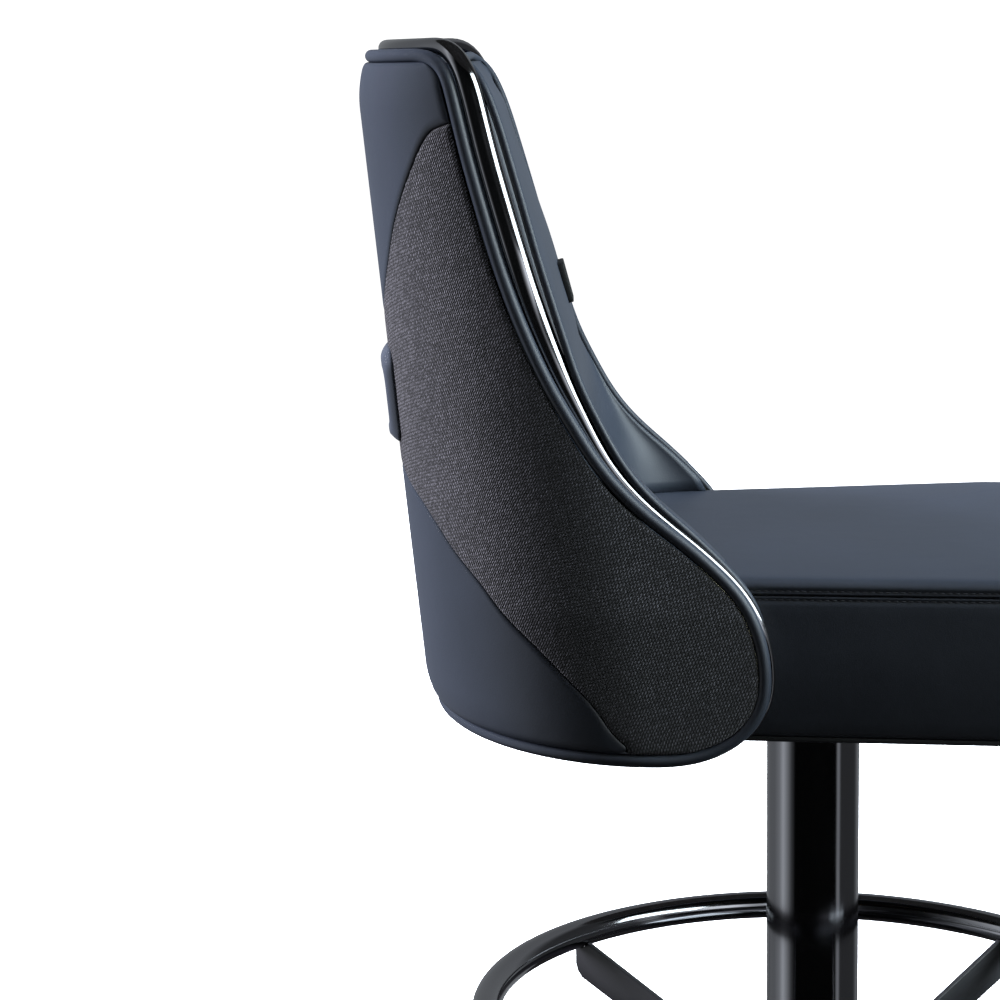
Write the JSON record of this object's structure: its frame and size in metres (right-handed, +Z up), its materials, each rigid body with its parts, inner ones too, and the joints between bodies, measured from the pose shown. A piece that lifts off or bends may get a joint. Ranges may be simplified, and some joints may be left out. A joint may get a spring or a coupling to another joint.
{
  "type": "gaming stool",
  "caption": "Swivel gaming stool: boxed seat cushion, wrap-around upholstered back with bright edge trim and rear pull handle, column with foot ring on a weighted round base",
  "frame": {"origin": "centre of the flat underside of the floor pad, on the column axis", "axes": "+Z up along the column; -Y the way the sitter faces, +Y behind the back; +X to the sitter's left; X = 0 is the plane of symmetry"},
  "size_m": [0.571, 0.6451, 1.0398],
  "materials": {
    "smoked_chrome": "mirror-bright plating with a dark smoked tint",
    "black_steel": "satin black powder coat",
    "zinc_steel": "bright zinc-plated steel",
    "bronze": "plain bearing bronze",
    "cast_iron": "rough cast, unpainted",
    "black_rubber": "matte ribless rubber sheet",
    "slate_vinyl": "fine-grained satin upholstery vinyl, blue-grey slate",
    "black_plastic": "satin moulded black plastic",
    "charcoal_weave": "coarse charcoal basket weave",
    "plywood": "raw birch plywood",
    "foam": "open-cell cushion foam, hidden inside"
  },
  "bodies": {
    "pedestal": {"arm_collar": "black_steel", "ball_cage": "bronze", "base_cover": "smoked_chrome", "base_plate": "black_steel", "base_weight": "cast_iron", "bearing_housing": "black_steel", "collar_set_screw_1": "zinc_steel", "collar_set_screw_2": "zinc_steel", "column_flange": "black_steel", "column_tube": "smoked_chrome", "flange_bolt_1": "zinc_steel", "flange_bolt_2": "zinc_steel", "flange_bolt_3": "zinc_steel", "flange_bolt_4": "zinc_steel", "floor_pad": "black_rubber", "foot_ring": "smoked_chrome", "lower_bush": "bronze", "lower_race": "zinc_steel", "ring_arm_1": "black_steel", "ring_arm_2": "black_steel", "ring_arm_3": "black_steel", "ring_arm_4": "black_steel", "upper_bush": "bronze"},
    "seat": {"back_base_foam": "foam", "back_bottom_cover": "black_plastic", "back_bracket_left": "black_steel", "back_bracket_right": "black_steel", "back_shell": "black_plastic", "back_trim": "smoked_chrome", "bracket_bolt_1": "zinc_steel", "bracket_bolt_2": "zinc_steel", "bracket_bolt_3": "zinc_steel", "bracket_bolt_4": "zinc_steel", "front_edge_roll": "slate_vinyl", "front_plate": "smoked_chrome", "inner_back_cushion": "slate_vinyl", "pull_handle": "black_plastic", "rear_bottom_panel": "slate_vinyl", "rear_fabric_wrap": "charcoal_weave", "rear_top_panel": "slate_vinyl", "rear_welt": "slate_vinyl", "retaining_ring": "zinc_steel", "seat_board": "plywood", "seat_foam": "foam", "seat_mount_bolt_1": "zinc_steel", "seat_mount_bolt_2": "zinc_steel", "seat_mount_bolt_3": "zinc_steel", "seat_mount_bolt_4": "zinc_steel", "seat_mount_plate": "black_steel", "seat_pan": "black_plastic", "seat_side_band": "slate_vinyl", "seat_top_panel": "slate_vinyl", "spindle": "zinc_steel", "upper_race": "zinc_steel"}
  },
  "joints": [
    {"name": "seat_swivel", "type": "hinge", "parent": "pedestal", "child": "seat", "pos_m": [0, 0, 0.5105], "axis": [0, 0, 1], "continuous": true}
  ]
}
